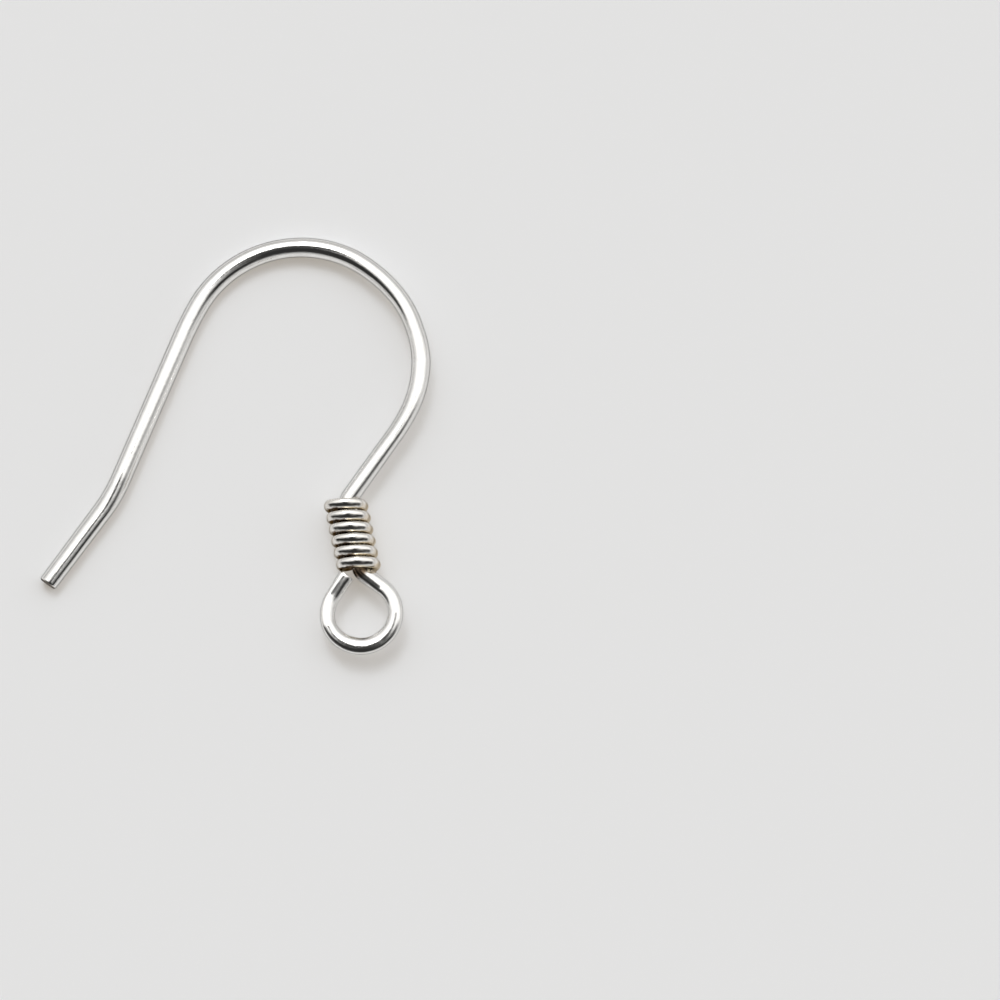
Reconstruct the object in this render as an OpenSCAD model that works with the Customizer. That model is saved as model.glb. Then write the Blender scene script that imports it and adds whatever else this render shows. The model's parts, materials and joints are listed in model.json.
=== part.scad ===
// Ear wire: one bent silver wire, hook above and loop below, with a thinner wire coiled round its stem.
// It lies as it would by itself on a flat surface, which is at height 0.

/* [Wire] */
// Diameter of the wire in the hook and the neck
hook_d = 0.85; // [0.65:0.05:0.9]
// Diameter of the wire in the loop
loop_d = 0.66; // [0.6:0.02:0.76]
// Diameter of the coiled wire
coil_d = 0.46; // [0.4:0.02:0.54]

/* [Hook] */
// Straight end that goes through the ear
tip_len = 4; // [3:0.25:6]
// Rounding of the tip's cut edge
tip_round = 0.12; // [0.04:0.02:0.2]
// Bend between the tip and the arm, outwards, in degrees
tip_bend = 13.5; // [5:0.5:25]
// Radius of that bend
tip_bend_r = 6.5; // [4:0.5:9]
// Straight back arm, from the tip's bend to the arch
arm_len = 6.45; // [4:0.05:9]
// Main radius of the arch
arch_r = 4.9; // [4:0.1:6]
// How far the arch turns from the neck to the arm, in degrees
arch_turn = 192.5; // [180:0.5:200]
// Straight neck, from the arch to the bend at the coil
neck_len = 3.2; // [2:0.1:4]
// Bend between the neck and the stem in the coil, in degrees
neck_bend = 46.5; // [35:0.5:55]
// Radius of that bend
neck_bend_r = 0.8; // [0.7:0.05:1]

/* [Coil] */
// Turns that show on top
coil_turns = 6; // [4:1:8]
// Gap between two turns
turn_gap = 0.055; // [0.04:0.005:0.1]
// How far the last end of the coiled wire is tucked under the stem, in degrees
tail_angle = 50; // [20:5:90]
// How far the first end of the coiled wire is tucked under, in degrees
head_angle = 45; // [20:5:60]
// Lean of the coil against the length of the ear wire, in degrees
coil_lean = 12; // [0:0.5:20]

/* [Loop] */
// Hole of the loop
loop_hole_d = 2.2; // [1.8:0.1:3]
// Bend between the stem and the loop's leg, in degrees
leg_bend = 43; // [36:1:50]
// Radius of that bend
leg_bend_r = 0.6; // [0.5:0.05:0.8]
// Leg from that bend's corner to the round of the loop
leg_len = 1.1; // [1:0.05:1.6]

/* [Fit] */
// Gap all round between the stem and the coil
stem_clearance = 0.04; // [0.04:0.005:0.1]
// Gap between the coil and the wires that leave it
piece_gap = 0.03; // [0.02:0.005:0.06]

/* [Hidden] */
$fn = 32;

// A bend is this much slimmer than the wire on both sides of it, and runs on into them this far.
bend_slimming = 0.01;
bend_run = 0.03;

// Arch, from the neck to the arm: share of arch_r, share of arch_turn.
ARCH = [
    [1.9, 0.04],
    [0.97, 0.34],
    [1.3, 0.11],
    [1, 0.47],
    [2.7, 0.04],
];

// Coil in its own plan: the axis is Y, and the shown side of each turn runs down from left to right.
pitch = coil_d + turn_gap;
coil_r = hook_d / 2 + stem_clearance + coil_d / 2;
half_turn_r = norm([coil_r, pitch / 4]);
under_d = coil_d - bend_slimming;
lead = atan(pitch / 4 / coil_r);
first_left = (coil_turns - 0.5) / 2 * pitch;
first_right = first_left - pitch / 2;
last_left = -first_right;
last_right = -first_left;

// Corners where the wire turns out of the coil, clear of its end turns.
function past_turn(d, a) = ((d + coil_d) / 2 + piece_gap - coil_r * cos(a)) / sin(a);
neck_corner = first_right + past_turn(hook_d, neck_bend);
leg_corner = last_right - past_turn(loop_d, leg_bend);
stem_top = neck_corner - neck_bend_r * tan(neck_bend / 2);
stem_foot = leg_corner + leg_bend_r * tan(leg_bend / 2);

// Loop: the leg is tangent to its round, and the free end's outer edge runs just under the last turn's left side.
loop_r = (loop_hole_d + loop_d) / 2;
// That edge is this far round from straight below the turn's left side, towards the outside.
end_side = 32;
end_edge = [-coil_r, last_left] - (coil_d / 2 + piece_gap) * [sin(end_side), cos(end_side)];
leg_dir = [sin(leg_bend), -cos(leg_bend)];
loop_centre = [0, leg_corner] + leg_len * leg_dir + loop_r * [leg_dir.y, -leg_dir.x];
to_end = end_edge - loop_centre;
outer_r = loop_r + loop_d / 2;
free_len = sqrt(pow(norm(to_end), 2) - pow(outer_r, 2));
free_heading = atan2(to_end.y, to_end.x) - atan2(outer_r, free_len);
loop_turn = 360 - free_heading + leg_bend - 90;

// Each row is a straight run, [length, 0], or a bend, [radius, degrees to the left]. The first row and every
// second row after it is one of the slimmer bends. The last row ends in the wire's cut end.
HOOK = concat(
    [[neck_bend_r, -neck_bend], [neck_len, 0]],
    [for (part = ARCH) [part[0] * arch_r, part[1] * arch_turn]],
    [[arm_len, 0], [tip_bend_r, -tip_bend], [tip_len - tip_round, 0]]
);
LOOP = [
    [leg_bend_r, leg_bend],
    [leg_len - leg_bend_r * tan(leg_bend / 2), 0],
    [loop_r, -loop_turn],
    [free_len, 0],
];
hook_start = [0, stem_top, 90];
loop_start = [0, stem_foot, -90];

// The place and heading after a row: [x, y, heading].
function left(h) = [-sin(h), cos(h)];
function after(s, row) =
    row[1] == 0
        ? [s.x + row[0] * cos(s[2]), s.y + row[0] * sin(s[2]), s[2]]
        : let (r = sign(row[1]) * row[0], h = s[2] + row[1], p = [s.x, s.y] + r * (left(s[2]) - left(h)))
            [p.x, p.y, h];
function places(rows, s, i = 0) =
    i == len(rows) ? [s] : concat([s], places(rows, after(s, rows[i]), i + 1));

// Stations along the wire, to find what it rests on and how far it reaches.
steps = 60;
function stations(rows, start) =
    let (at = places(rows, start))
    [for (i = [0 : len(rows) - 1], k = [1 : steps])
        after(at[i], rows[i][1] == 0 ? [rows[i][0] * k / steps, 0] : [rows[i][0], rows[i][1] * k / steps])];
function turned(s) =
    [s.x * cos(coil_lean) - s.y * sin(coil_lean), s.x * sin(coil_lean) + s.y * cos(coil_lean), s[2] + coil_lean];
hook_stations = [for (s = stations(HOOK, hook_start)) turned(s)];
loop_stations = [for (s = stations(LOOP, loop_start)) turned(s)];

// It rests on its tip, on the arch where a straight edge from the tip touches it, and under the coil's first turn.
tip = hook_stations[len(hook_stations) - 1];
function bearing(s) = atan2(s.y - tip.y, s.x - tip.x);
edge = max([for (s = hook_stations) if (norm([s.x - tip.x, s.y - tip.y]) > arm_len) bearing(s)]);
edge_dir = [cos(edge), sin(edge), 0];
under_coil = turned([0, first_right - pitch / 4, 0]);
reach = norm([under_coil.x - tip.x, under_coil.y - tip.y]) * sin(edge - bearing(under_coil));
tilt = atan(half_turn_r / reach) + asin((under_d - hook_d) / 2 / norm([reach, half_turn_r]));
function lifted(v) =
    v * cos(tilt) - cross(edge_dir, v) * sin(tilt) + edge_dir * (edge_dir * v) * (1 - cos(tilt));

// The middle of what it covers. How far a round section reaches depends on how square it stands to the axis.
function reaches(list, d, edge_round, axis) =
    [for (s = list, side = [-1, 1])
        let (p = lifted([s.x - tip.x, s.y - tip.y, 0]), t = lifted([cos(s[2]), sin(s[2]), 0]))
            p[axis] + side * ((d / 2 - edge_round) * sqrt(1 - t[axis] * t[axis]) + edge_round)];
function middle(axis) =
    let (all = concat(
        reaches(hook_stations, hook_d, 0, axis),
        reaches([tip], hook_d, tip_round, axis),
        reaches(loop_stations, loop_d, 0, axis)
    ))
    (min(all) + max(all)) / 2;

module resting()
    translate([-middle(0), -middle(1), hook_d / 2])
        rotate(a = -tilt, v = edge_dir)
            translate([-tip.x, -tip.y, 0]) rotate([0, 0, coil_lean]) children();

// A bend about Z from the origin towards Y, to the left for a positive angle.
module bend(r, angle, d, run) {
    on = run / r * 180 / PI;
    translate([angle > 0 ? -r : r, 0, 0])
        rotate_extrude(start = angle > 0 ? -on : 180 + angle - on, angle = abs(angle) + 2 * on)
            translate([r, 0]) circle(d = d);
}

// A straight run up Z whose far end is a cut end with a rounded edge.
module rounded_run(length, d, edge_round)
    rotate_extrude() {
        square([d / 2, length]);
        square([d / 2 - edge_round, length + edge_round]);
        translate([d / 2 - edge_round, length]) circle(r = edge_round);
    }

module wire(rows, start, d, edge_round = 0) {
    at = places(rows, start);
    last = len(rows) - 1;
    for (i = [0 : last])
        translate([at[i].x, at[i].y, 0]) rotate([0, 0, at[i][2] - 90]) {
            slim = i % 2 == 0;
            if (rows[i][1] != 0)
                bend(rows[i][0], rows[i][1], slim ? d - bend_slimming : d, slim ? bend_run : 0);
            else if (i == last && edge_round > 0)
                rotate([-90, 0, 0]) rounded_run(rows[i][0], d, edge_round);
            else
                rotate([-90, 0, 0]) cylinder(h = rows[i][0], d = d);
        }
}

module stem()
    translate([0, stem_foot, 0]) rotate([-90, 0, 0])
        cylinder(h = stem_top - stem_foot, d1 = loop_d, d2 = hook_d);

module ear_hook() color("silver") resting() {
    stem();
    wire(HOOK, hook_start, hook_d, tip_round);
    wire(LOOP, loop_start, loop_d);
}

// Part of a ring round Y, whose right side is lower by the lead. 0 is at the right and 90 on top.
module ring(y, slope, from, angle, d)
    translate([0, y, 0]) rotate([0, 0, slope]) rotate([90, 0, 0])
        rotate_extrude(start = from, angle = angle) translate([half_turn_r, 0]) circle(d = d);

module coil_wrap() color("gainsboro") resting() {
    on = bend_run / half_turn_r * 180 / PI;
    for (i = [0 : coil_turns - 1])
        ring(first_left - (i + 0.25) * pitch, -lead, 0, 180, coil_d);
    for (i = [0 : coil_turns - 2])
        ring(first_left - (i + 0.75) * pitch, lead, 180 - on, 180 + 2 * on, under_d);
    ring(first_left + 0.25 * pitch, lead, 180 - on, head_angle + on, under_d);
    ring(last_right - 0.25 * pitch, lead, 360 - tail_angle, tail_angle + on, under_d);
}

ear_hook();
coil_wrap();
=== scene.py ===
"""Looks of the ear wire: a polished silver wire hook and loop, and the thinner wire coiled round its stem."""

import json
import math

import bmesh
import bpy
from mathutils import Matrix, Vector


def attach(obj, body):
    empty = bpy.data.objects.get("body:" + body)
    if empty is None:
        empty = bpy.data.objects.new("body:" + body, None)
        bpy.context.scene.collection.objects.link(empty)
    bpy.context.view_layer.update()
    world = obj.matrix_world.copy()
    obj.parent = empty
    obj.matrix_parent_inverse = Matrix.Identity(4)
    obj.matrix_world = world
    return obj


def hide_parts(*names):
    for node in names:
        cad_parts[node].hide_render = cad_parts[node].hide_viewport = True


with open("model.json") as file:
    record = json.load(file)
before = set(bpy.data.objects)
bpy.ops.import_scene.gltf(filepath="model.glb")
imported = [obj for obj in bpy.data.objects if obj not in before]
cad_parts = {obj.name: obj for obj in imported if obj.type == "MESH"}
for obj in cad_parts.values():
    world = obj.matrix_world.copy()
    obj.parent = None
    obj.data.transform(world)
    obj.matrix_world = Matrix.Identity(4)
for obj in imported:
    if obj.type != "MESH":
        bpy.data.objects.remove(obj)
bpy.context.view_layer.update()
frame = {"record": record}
MM = 0.001

# Camera: from the viewer's side and high above, as the photograph was taken. Its lengths are in millimetres.
ELEVATION = math.radians(79)
AIM = Vector((11.193, -2.261, 0))
DISTANCE = 177.3
LENS, SENSOR_WIDTH = 150, 36
NEAREST_SEEN = 2

eye = bpy.data.cameras.new("camera")
eye.lens = LENS
eye.sensor_width = SENSOR_WIDTH
eye.clip_start = NEAREST_SEEN * MM
camera = bpy.data.objects.new("camera", eye)
camera.location = (AIM + DISTANCE * Vector((0, -math.cos(ELEVATION), math.sin(ELEVATION)))) * MM
camera.rotation_euler = (math.pi / 2 - ELEVATION, 0, 0)
bpy.context.collection.objects.link(camera)
bpy.context.scene.camera = camera


class Shade:
    """A shader's value. Sums and products on it add Math nodes, and node() adds any other node."""

    def __init__(self, tree, socket=None):
        self.tree = tree
        self.socket = socket

    def node(self, kind, settings=None, sockets=None, out=0):
        made = self.tree.nodes.new(kind)
        for name, value in (settings or {}).items():
            setattr(made, name, value)
        for name, value in (sockets or {}).items():
            if isinstance(value, Shade):
                value.feed(made.inputs[name])
            else:
                made.inputs[name].default_value = value
        return Shade(self.tree, made.outputs[out])

    def feed(self, socket):
        self.tree.links.new(self.socket, socket)

    def math(self, operation, *values):
        return self.node("ShaderNodeMath", {"operation": operation}, dict(enumerate(values)))

    def __add__(self, other):
        return self.math("ADD", self, other)

    def __sub__(self, other):
        return self.math("SUBTRACT", self, other)

    def __rsub__(self, other):
        return self.math("SUBTRACT", other, self)

    def __mul__(self, other):
        return self.math("MULTIPLY", self, other)

    def __truediv__(self, other):
        return self.math("DIVIDE", self, other)

    __radd__ = __add__
    __rmul__ = __mul__

    def most(self, other):
        return self.math("MAXIMUM", self, other)

    def size(self):
        return self.math("ABSOLUTE", self)

    def step(self, low, high):
        """0 below low, 1 above high and a smooth slope between them. With low above high it falls."""
        side = {"From Min": low, "From Max": high}
        return self.node("ShaderNodeMapRange", {"interpolation_type": "SMOOTHSTEP"}, {"Value": self, **side})

    def become(self, other, mask):
        """This value where the mask is 0, and the other one where it is 1."""
        return self + (other - self) * mask

    def mix(self, first, second):
        """
        A colour that goes from first to second as this value goes from 0 to 1. The node's inputs 6 and 7 and its
        output 2 are the ones for colours.
        """
        first, second = ((*tone, 1) if isinstance(tone, tuple) else tone for tone in (first, second))
        return self.node("ShaderNodeMix", {"data_type": "RGBA"}, {0: self, 6: first, 7: second}, out=2)

    def parts(self):
        """The X, Y and Z of a vector."""
        split = self.node("ShaderNodeSeparateXYZ", {}, {0: self})
        return [Shade(self.tree, socket) for socket in split.socket.node.outputs]

    def stretched(self, scale):
        return self.node("ShaderNodeMapping", {}, {"Vector": self, "Scale": scale})

    def noise(self, scale, detail):
        return self.node("ShaderNodeTexNoise", {}, {"Vector": self, "Scale": scale, "Detail": detail}, out="Fac")


def distance(x, y):
    return x.math("SQRT", x * x + y * y)


def finish_of(name):
    """A new material and its Principled shader."""
    material = bpy.data.materials.new(name)
    material.use_nodes = True
    tree = material.node_tree
    return material, Shade(tree), tree.nodes["Principled BSDF"]


def sin(a):
    return math.sin(math.radians(a))


def cos(a):
    return math.cos(math.radians(a))


def tan(a):
    return math.tan(math.radians(a))


# The wire in its own plan, in millimetres and degrees, with the sizes of the part's source. The stem runs along Y
# and the coil's middle is the origin.
HOOK_D, LOOP_D, COIL_D = 0.85, 0.66, 0.46
NECK_LEN, NECK_BEND, NECK_BEND_R = 3.2, 46.5, 0.8
ARCH_R = 4.9
ARM_LEN = 6.45
TIP_LEN, TIP_BEND, TIP_BEND_R, TIP_ROUND = 4, 13.5, 6.5, 0.12
TURNS, TURN_GAP, HEAD_ANGLE, TAIL_ANGLE = 6, 0.055, 45, 50
LEG_LEN, LEG_BEND, LEG_BEND_R = 1.1, 43, 0.6
LOOP_R = 1.43
STEM_GAP, PIECE_GAP = 0.04, 0.03

# The coil's half turns, and where its first and last turns stand at their left and right.
pitch = COIL_D + TURN_GAP
coil_r = HOOK_D / 2 + STEM_GAP + COIL_D / 2
half_turn_r = math.hypot(coil_r, pitch / 4)
lead = math.degrees(math.atan(pitch / 4 / coil_r))
first_left = (TURNS - 0.5) / 2 * pitch
first_right = first_left - pitch / 2
last_left, last_right = -first_right, -first_left


def past_turn(d, a):
    """How far beyond an end turn the corner lies of a wire that turns away at an angle and clears that turn."""
    return ((d + COIL_D) / 2 + PIECE_GAP - coil_r * cos(a)) / sin(a)


stem_top = first_right + past_turn(HOOK_D, NECK_BEND) - NECK_BEND_R * tan(NECK_BEND / 2)
leg_corner = last_right - past_turn(LOOP_D, LEG_BEND)
stem_foot = leg_corner + LEG_BEND_R * tan(LEG_BEND / 2)

# The free leg leaves the round of the loop so that its outer edge passes just under the last turn's left side. It
# is nearest to that turn this far round from straight below it, in degrees.
END_SIDE = 32
leg_dir = Vector((sin(LEG_BEND), -cos(LEG_BEND)))
loop_centre = Vector((0, leg_corner)) + LEG_LEN * leg_dir + LOOP_R * Vector((leg_dir.y, -leg_dir.x))
end_edge = Vector((-coil_r, last_left)) - (COIL_D / 2 + PIECE_GAP) * Vector((sin(END_SIDE), cos(END_SIDE)))
to_end = end_edge - loop_centre
outer_r = LOOP_R + LOOP_D / 2
free_len = math.sqrt(to_end.length_squared - outer_r ** 2)
free_heading = math.degrees(math.atan2(to_end.y, to_end.x) - math.atan2(outer_r, free_len))
loop_turn = 360 - free_heading + LEG_BEND - 90

# A row is a straight run, its length and 0, or a bend, its radius and the degrees that it turns to the left. Then
# it says what the wire is like at its end: its width, the height of its rounded top (twice over, as if for a full
# section), how far it has strayed to the left of the plan, and the degrees that its flatter top leans to the
# right. The hook and the loop both start at the coil's middle, with a wire like this.
MIDDLE = (0.72, 0.72, 0, 0)
HOOK = [
    (stem_top, 0, 0.74, 0.74, 0, 0),
    (NECK_BEND_R, -NECK_BEND, 0.757, 0.72, 0.035, 0),
    (NECK_LEN, 0, 0.757, 0.62, 0.035, -32),
    (1.9 * ARCH_R, 7.7, 0.775, 0.64, 0.022, -32),
    (0.97 * ARCH_R, 28, 0.81, 0.76, -0.008, 0),
    (0.97 * ARCH_R, 17, 0.765, 0.77, 0.025, 0),
    (0.97 * ARCH_R, 20.45, 0.79, 0.72, -0.008, -8),
    (1.3 * ARCH_R, 21.175, 0.84, 0.7, -0.03, -11),
    (ARCH_R, 16, 0.85, 0.72, -0.012, -10),
    (ARCH_R, 20, 0.835, 0.72, 0.008, -8),
    (ARCH_R, 20, 0.855, 0.74, 0.015, -6),
    (ARCH_R, 34.475, 0.88, 0.8, 0.015, 0),
    (2.7 * ARCH_R, 7.7, 0.86, 0.82, 0.03, 0),
    (ARM_LEN, 0, 0.85, 0.82, 0.004, 0),
    (TIP_BEND_R, -TIP_BEND, 0.87, 0.66, 0.01, 16),
    (TIP_LEN, 0, 0.81, 0.61, -0.01, 12),
]

# The free leg ends a little beyond the plan's, and flares towards its cut.
FREE_LONGER, FLARE_LEN = 0.05, 0.4
FIFTH = -0.2 * loop_turn
LOOP = [
    (-stem_foot, 0, 0.66, 0.62, 0.02, 0),
    (LEG_BEND_R, LEG_BEND, 0.72, 0.54, 0.03, -10),
    (LEG_LEN - LEG_BEND_R * tan(LEG_BEND / 2), 0, 0.67, 0.38, 0.012, -7),
    (LOOP_R, FIFTH, 0.635, 0.49, 0.012, 4),
    (LOOP_R, FIFTH, 0.7, 0.41, -0.042, 3),
    (LOOP_R, FIFTH, 0.715, 0.42, -0.042, 4),
    (LOOP_R, FIFTH, 0.63, 0.48, 0.02, 12),
    (LOOP_R, FIFTH, 0.65, 0.37, -0.02, 23),
    (free_len + FREE_LONGER - FLARE_LEN, 0, 0.68, 0.44, 0, 25),
    (FLARE_LEN, 0, 0.71, 0.48, 0.01, 18),
]

# The coil is pushed this far towards the neck.
PUSHED = 0.05

# Over the stem a turn is flatter than a circle: up, a tight bend, a wide one, a tight bend, and down. The wire's
# own top is pressed flatter there too, and leans towards the loop.
RISE, SHOULDER_R, SHOULDER, CROWN_R = 0.24, 0.337, 62, 1.1
OUTWARDS = -90
LEAN = OUTWARDS + 20
ROUND = (COIL_D, COIL_D, 0, LEAN)
OVER = [
    (RISE, 0, COIL_D, 0.42, 0, LEAN),
    (SHOULDER_R, -SHOULDER, COIL_D, 0.3, 0, LEAN),
    (CROWN_R, 2 * SHOULDER - 180, COIL_D, 0.3, 0, LEAN),
    (SHOULDER_R, -SHOULDER, COIL_D, 0.42, 0, LEAN),
    (RISE, 0, *ROUND),
]

# Under the stem the wire is a little thinner, so that the coil stays above the floor.
THIN = (0.444, 0.444, 0, LEAN)
UNDER = [(half_turn_r, -40, *THIN), (half_turn_r, -100, *THIN), (half_turn_r, -40, *ROUND)]


def along(place, row):
    """The place and heading (x, y, degrees) after a row."""
    x, y, h = place
    if row[1] == 0:
        return x + row[0] * cos(h), y + row[0] * sin(h), h
    r = math.copysign(row[0], row[1])
    return x + r * (sin(h + row[1]) - sin(h)), y + r * (cos(h) - cos(h + row[1])), h + row[1]


def walk(place, rows):
    for row in rows:
        place = along(place, row)
    return place


# Where the plan lies in the frame: the part's two mounts say how the tip points and which way the loop faces.
mounts = {m["name"]: m for m in frame["record"]["mounts"]}
tip_way = Vector(mounts["tip_pin"]["axis"]).normalized()
plan_up = Vector(mounts["loop_eye"]["axis"])
plan_up = (plan_up - plan_up.dot(tip_way) * tip_way).normalized()
tip_x, tip_y, tip_heading = walk((0, 0, 90), HOOK)
pin_back = TIP_ROUND + mounts["tip_pin"]["dims"]["length_mm"] / 2
pin_middle = Vector((tip_x - pin_back * cos(tip_heading), tip_y - pin_back * sin(tip_heading), 0))
from_tip = Matrix((tip_way, plan_up.cross(tip_way), plan_up)).transposed()
lying = from_tip @ Matrix.Rotation(-math.radians(tip_heading), 3, "Z")
PLACING = (
    Matrix.Translation(Vector(mounts["tip_pin"]["pos_m"]))
    @ lying.to_4x4()
    @ Matrix.Scale(MM, 4)
    @ Matrix.Translation(-pin_middle)
)

# How finely the wires are drawn: points round them, and the longest step and turn from one ring to the next.
HOOK_SIDES, COIL_SIDES = 56, 32
LONGEST_STEP, WIDEST_TURN = 0.16, 2.5
# The lower half of a wire is no deeper than this, twice over, so that it stays above the floor.
DEEPEST = 0.84
# Rounding of an end that is simply clipped off.
CLIPPED_ROUND = 0.02


def new_wire():
    bm = bmesh.new()
    bm.verts.layers.float_vector.new("straight")
    return bm


def edges_between(verts):
    inside = set(verts)
    return [e for e in {e for v in verts for e in v.link_edges} if set(e.verts) <= inside]


def first_ring(bm, place, sides, size, plane=Matrix()):
    """
    A ring of wire. Each point's "straight" value is its place on the straight wire that this one was bent from,
    with the radius as 1 and the length in millimetres.
    """
    upright = Matrix.Rotation(math.pi / 2, 4, "Y")
    ring = bmesh.ops.create_circle(bm, segments=sides, radius=1, matrix=upright)["verts"]
    straight = bm.verts.layers.float_vector["straight"]
    for v in ring:
        v[straight] = (v.co.y, v.co.z, 0)
    shape_ring(bm, ring, plane, place, size, 0)
    return ring


def shape_ring(bm, ring, plane, place, size, gone):
    """Gives a ring its place and its section, whose top is flatter, and says how far along the wire it is."""
    x, y, h = place
    width, top, stray, lean = size
    turned = Matrix.Rotation(math.radians(h), 4, "Z") @ Matrix.Rotation(math.radians(lean), 4, "X")
    there = plane @ Matrix.Translation((x, y, 0)) @ turned
    straight = bm.verts.layers.float_vector["straight"]
    for v in ring:
        side, up, _ = v[straight]
        v.co = there @ Vector((0, stray + side * width / 2, up * (top if up > 0 else min(width, DEEPEST)) / 2))
        v[straight] = (side, up, gone)


def draw_wire(bm, ring, place, rows, size, plane=Matrix(), gone=0, way=1):
    """Draws the wire on from a ring along rows in a plane. Returns the last ring and the length gone."""
    for reach, angle, *end_size in rows:
        length = abs(reach if angle == 0 else reach * math.radians(angle))
        steps = math.ceil(max(length / LONGEST_STEP, abs(angle) / WIDEST_TURN))
        begin = size
        for k in range(1, steps + 1):
            x, y, h = place
            r = math.copysign(reach, angle)
            place = along(place, (reach / steps if angle == 0 else reach, angle / steps))
            move = Vector((place[0] - x, place[1] - y, 0)) if angle == 0 else Vector()
            made = bmesh.ops.spin(
                bm,
                geom=ring + edges_between(ring),
                cent=plane @ Vector((x - r * sin(h), y + r * cos(h), 0)),
                axis=plane.to_3x3() @ Vector((0, 0, 1)),
                dvec=plane.to_3x3() @ move,
                angle=math.radians(angle / steps),
                steps=1,
            )["geom_last"]
            ring = [g for g in made if isinstance(g, bmesh.types.BMVert)]
            gone += way * length / steps
            size = [s + (e - s) * k / steps for s, e in zip(begin, end_size)]
            shape_ring(bm, ring, plane, place, size, gone)
    return ring, gone


def smooth_sides(bm):
    for face in bm.faces:
        face.smooth = len(face.verts) < 5


def cut_end(bm, ring, rounding, segments):
    """Closes a wire's end with a flat cut and a rounded edge."""
    rim = edges_between(ring)
    made = bmesh.ops.contextual_create(bm, geom=rim)["faces"]
    for face in made:
        face.smooth = False
    bmesh.ops.bevel(
        bm, geom=rim, offset=rounding, offset_type="OFFSET", segments=segments, profile=0.5, affect="EDGES",
        material=-1,
    )


def new_piece(name, bm, material):
    """Lays a finished wire in its place. Each point keeps its place in the wire's plan as its "plan" value."""
    plan = bm.verts.layers.float_vector.new("plan")
    for v in bm.verts:
        v[plan] = v.co
    bmesh.ops.transform(bm, matrix=PLACING, verts=bm.verts)
    bmesh.ops.recalc_face_normals(bm, faces=bm.faces)
    mesh = bpy.data.meshes.new(name)
    bm.to_mesh(mesh)
    bm.free()
    piece = bpy.data.objects.new(name, mesh)
    bpy.context.collection.objects.link(piece)
    mesh.materials.append(material)
    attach(piece, "root")
    return piece


def silver_wire(name, clean, worn_tone, edge_shade):
    """Polished silver: lines from the drawplate along it, their fine notches, light wear and painted shade along
    its silhouette, which darkens its reflection there.
    """
    material, shade, silver = finish_of(name)
    straight = shade.node("ShaderNodeAttribute", {"attribute_name": "straight"}, out="Vector")
    plan = shade.node("ShaderNodeAttribute", {"attribute_name": "plan"}, out="Vector")
    worn = straight.noise(3.0, 4.0)
    drawn = straight.stretched((16, 16, 0.5)).noise(1.0, 3.0)
    notched = straight.stretched((7, 7, 6)).noise(1.0, 2.0)
    silver.inputs["Metallic"].default_value = 1
    # Painted shade: this tint darkens the silver's reflection at grazing angles, along the wire's silhouette.
    silver.inputs["Specular Tint"].default_value = (*edge_shade, 1)
    rough = 0.02 + 0.04 * worn + 0.04 * drawn.step(0.55, 0.8)
    rough.feed(silver.inputs["Roughness"])
    relief = {"Strength": 1.0, "Distance": 3.0e-6, "Height": drawn + 0.8 * notched}
    shade.node("ShaderNodeBump", {}, relief).feed(silver.inputs["Normal"])
    tone = worn.step(0.35, 0.75).mix(clean, worn_tone)
    return material, silver, straight, plan, tone


def polished_silver():
    """The hook's silver, brown with painted shade where the leg leaves the coil, and dark on the tip's cut."""
    clean, worn, edge_shade = (0.93, 0.92, 0.90), (0.86, 0.85, 0.83), (0.1, 0.1, 0.1)
    brown, cut = (0.22, 0.16, 0.11), (0.2, 0.17, 0.14)
    material, silver, _, plan, tone = silver_wire("polished_silver_wire", clean, worn, edge_shade)
    x, y, _ = plan.parts()
    # Painted shade: a brown patch on the wire where the leg leaves the coil, under its last turn.
    painted_shade_under_coil = distance(x, y - (last_right - 0.1)).step(0.42, 0.2)
    past_tip = (x - tip_x) * cos(tip_heading) + (y - tip_y) * sin(tip_heading)
    tone = painted_shade_under_coil.mix(tone, brown)
    tone = past_tip.step(-0.07, -0.03).mix(tone, cut)
    tone.feed(silver.inputs["Base Color"])
    return material


def coiled_silver():
    """
    The coil's silver, tarnished and darkened with painted shade between its turns: brown at their left, golden
    beyond. A painted tan shade lies on the turns' right ends.
    """
    clean, worn, edge_shade = (0.91, 0.89, 0.86), (0.84, 0.81, 0.76), (0.4, 0.36, 0.3)
    brown, golden, painted_shade_tan = (0.13, 0.09, 0.06), (0.93, 0.84, 0.66), (0.77, 0.67, 0.53)
    material, silver, straight, plan, tone = silver_wire("coiled_silver_wire", clean, worn, edge_shade)
    x = plan.parts()[0]
    side = straight.parts()[0]
    mottle = plan.noise(5.0, 3.0)
    # Painted shade, with some tarnished colour, on the flank of each turn that faces the gap to the next one.
    between = (mottle - 0.5 - side).step(0.42, 0.75)
    # Painted shade on the turns' right ends.
    painted_shade_right_end = (x + 0.5 * mottle - 0.25 * side).step(0.85, 1.2)
    tone = between.mix(tone, x.step(-0.25, 0.1).mix(brown, golden))
    tone = painted_shade_right_end.mix(tone, painted_shade_tan)
    tone.feed(silver.inputs["Base Color"])
    return material


def hook_piece():
    bm = new_wire()
    start = (0, 0, 90)
    middle = first_ring(bm, start, HOOK_SIDES, MIDDLE)
    tip, _ = draw_wire(bm, middle, start, HOOK, MIDDLE)
    end, _ = draw_wire(bm, middle, (0, 0, -90), LOOP, MIDDLE, way=-1)
    smooth_sides(bm)
    cut_end(bm, tip, TIP_ROUND, 6)
    cut_end(bm, end, CLIPPED_ROUND, 2)
    piece = new_piece("ear_hook_wire", bm, polished_silver())
    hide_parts("ear_hook")


def half_turn_plane(y, slope):
    """The plane of a half turn: X across the coil, down to the right by the slope, and Y up."""
    middle = Matrix.Translation((0, y + PUSHED, 0))
    return middle @ Matrix.Rotation(math.radians(slope), 4, "Z") @ Matrix.Rotation(math.pi / 2, 4, "X")


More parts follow.
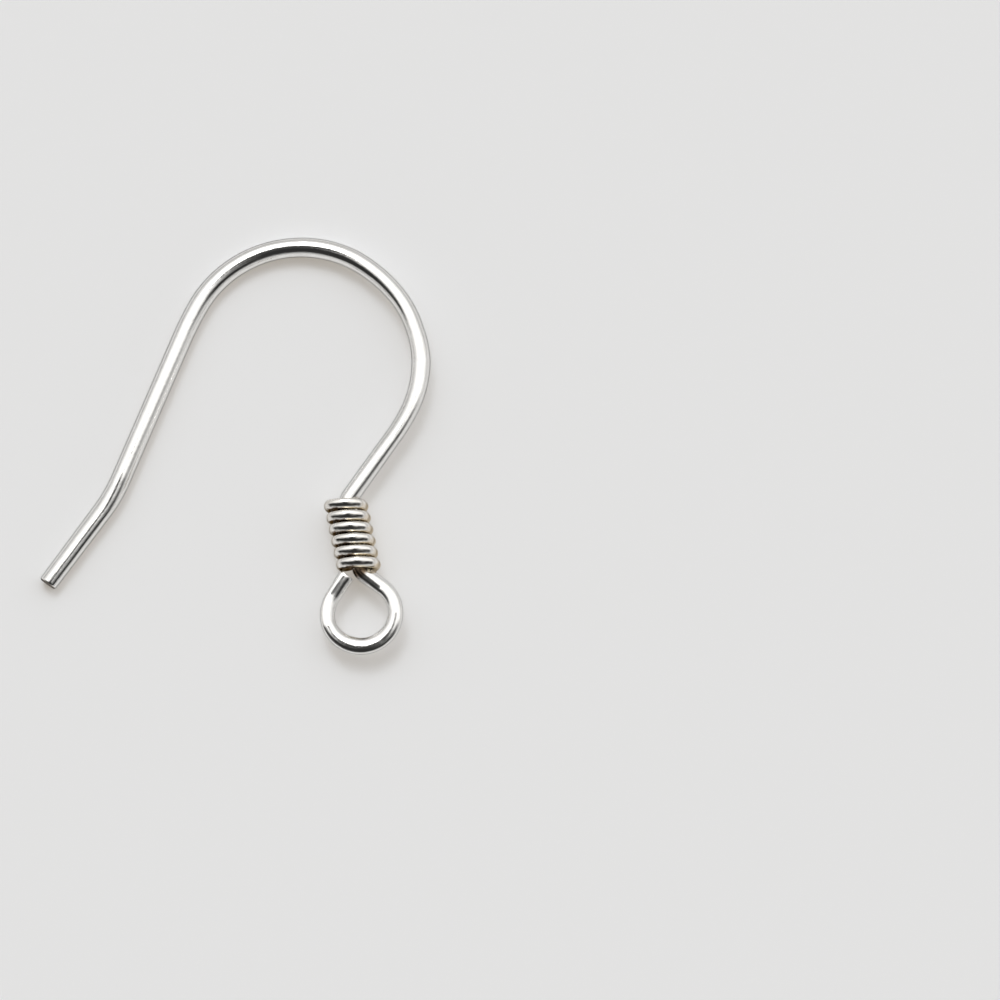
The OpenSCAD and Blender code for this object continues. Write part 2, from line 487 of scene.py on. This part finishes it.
def coil_piece():
    bm = new_wire()
    at_left = (-half_turn_r, 0, 90)
    at_right = (half_turn_r, 0, -90)
    turns = []
    for i in range(TURNS):
        turns.append((first_left - (i + 0.25) * pitch, -lead, at_left, OVER))
        if i < TURNS - 1:
            turns.append((first_left - (i + 0.75) * pitch, lead, at_right, UNDER))

    # Both ends are tucked under the stem.
    under_left = 180 + HEAD_ANGLE
    tucked = (half_turn_r * cos(under_left), half_turn_r * sin(under_left), under_left - 90)
    head = (first_left + 0.25 * pitch, lead, tucked, [(half_turn_r, -HEAD_ANGLE, *ROUND)])
    tail = (last_right - 0.25 * pitch, lead, at_right, [(half_turn_r, -TAIL_ANGLE, *THIN)])

    size = THIN
    gone = 0
    ring = first = first_ring(bm, tucked, COIL_SIDES, size, half_turn_plane(*head[:2]))
    for y, slope, start, rows in [head, *turns, tail]:
        ring, gone = draw_wire(bm, ring, start, rows, size, half_turn_plane(y, slope), gone)
        size = rows[-1][2:]
    smooth_sides(bm)
    cut_end(bm, first, CLIPPED_ROUND, 2)
    cut_end(bm, ring, CLIPPED_ROUND, 2)
    piece = new_piece("coil_of_wire", bm, coiled_silver())
    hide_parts("coil_wrap")


def floor():
    """
    A plain pale floor, 3 m wide. Its paint is cool and glows a little in a warm tone, so that it looks neutral in
    the light and warm in the shadows.
    """
    bm = bmesh.new()
    bmesh.ops.create_grid(bm, x_segments=1, y_segments=1, size=1.5)
    mesh = bpy.data.meshes.new("floor")
    bm.to_mesh(mesh)
    bm.free()
    ground = bpy.data.objects.new("floor", mesh)
    bpy.context.collection.objects.link(ground)
    material, _, paint = finish_of("pale_floor")
    paint.inputs["Base Color"].default_value = (0.613, 0.658, 0.718, 1)
    paint.inputs["Emission Color"].default_value = (1.0, 0.86, 0.68, 1)
    paint.inputs["Emission Strength"].default_value = 0.26
    paint.inputs["Roughness"].default_value = 0.9
    paint.inputs["Specular IOR Level"].default_value = 0.2
    mesh.materials.append(material)


def studio():
    """
    Soft studio light. The sky is laid out as a disc seen from below: its middle is the zenith, its rim the horizon
    and +v the arch's side. A broad white softbox with a small lamp in it stands over the arch's side of an open
    grey room. A dark space lies above the viewer's side, and a small dark spot overhead.
    """
    room, softbox, lamp, dark = 0.66, 1.25, 9.0, 0.03
    world = bpy.data.worlds.new("studio")
    bpy.context.scene.world = world
    world.use_nodes = True
    tree = world.node_tree
    x, y, z = Shade(tree).node("ShaderNodeTexCoord", out="Generated").parts()
    low = (1 + z).most(0.05)
    u, v = x / low, y / low

    # The middle of the dark space is a little off the zenith.
    side, up = u + 0.065, v - 0.125
    off = distance(side, up)
    arch_side = 0.5 * side + 0.866 * up

    in_softbox = distance(u / 1.2, v - 0.1).step(0.62, 0.22) * v.step(-0.12, 0.05)
    in_lamp = distance(u + 0.06, v - 0.26).step(0.175, 0.0)
    dim_ring = (off - 0.75).size().step(0.35, 0.05) * up.step(0.1, 0.35)

    above_rim = (off + 0.5 * (arch_side + 0.1).most(0)).step(0.94, 0.62)
    far = off.step(0.28, 0.47) * v.step(0.02, -0.1)
    left = v.step(0.05, -0.155) * u.step(0.33, 0.06)
    overhead = 0.97 * distance((u + 0.035) / 1.25, (v + 0.02) / 1.5).step(0.085, 0.07)
    in_dark = above_rim * arch_side.step(0.30, -0.1) * far.most(left).most(overhead)

    light = room - 0.13 * dim_ring
    light = light.become(softbox, in_softbox).become(lamp, in_lamp).become(dark, in_dark)
    background = tree.nodes["Background"]
    light.feed(background.inputs["Strength"])
    background.inputs["Color"].default_value = (1, 0.995, 0.985, 1)


hook_piece()
coil_piece()
floor()
studio()
bpy.context.scene.view_settings.view_transform = "Standard"
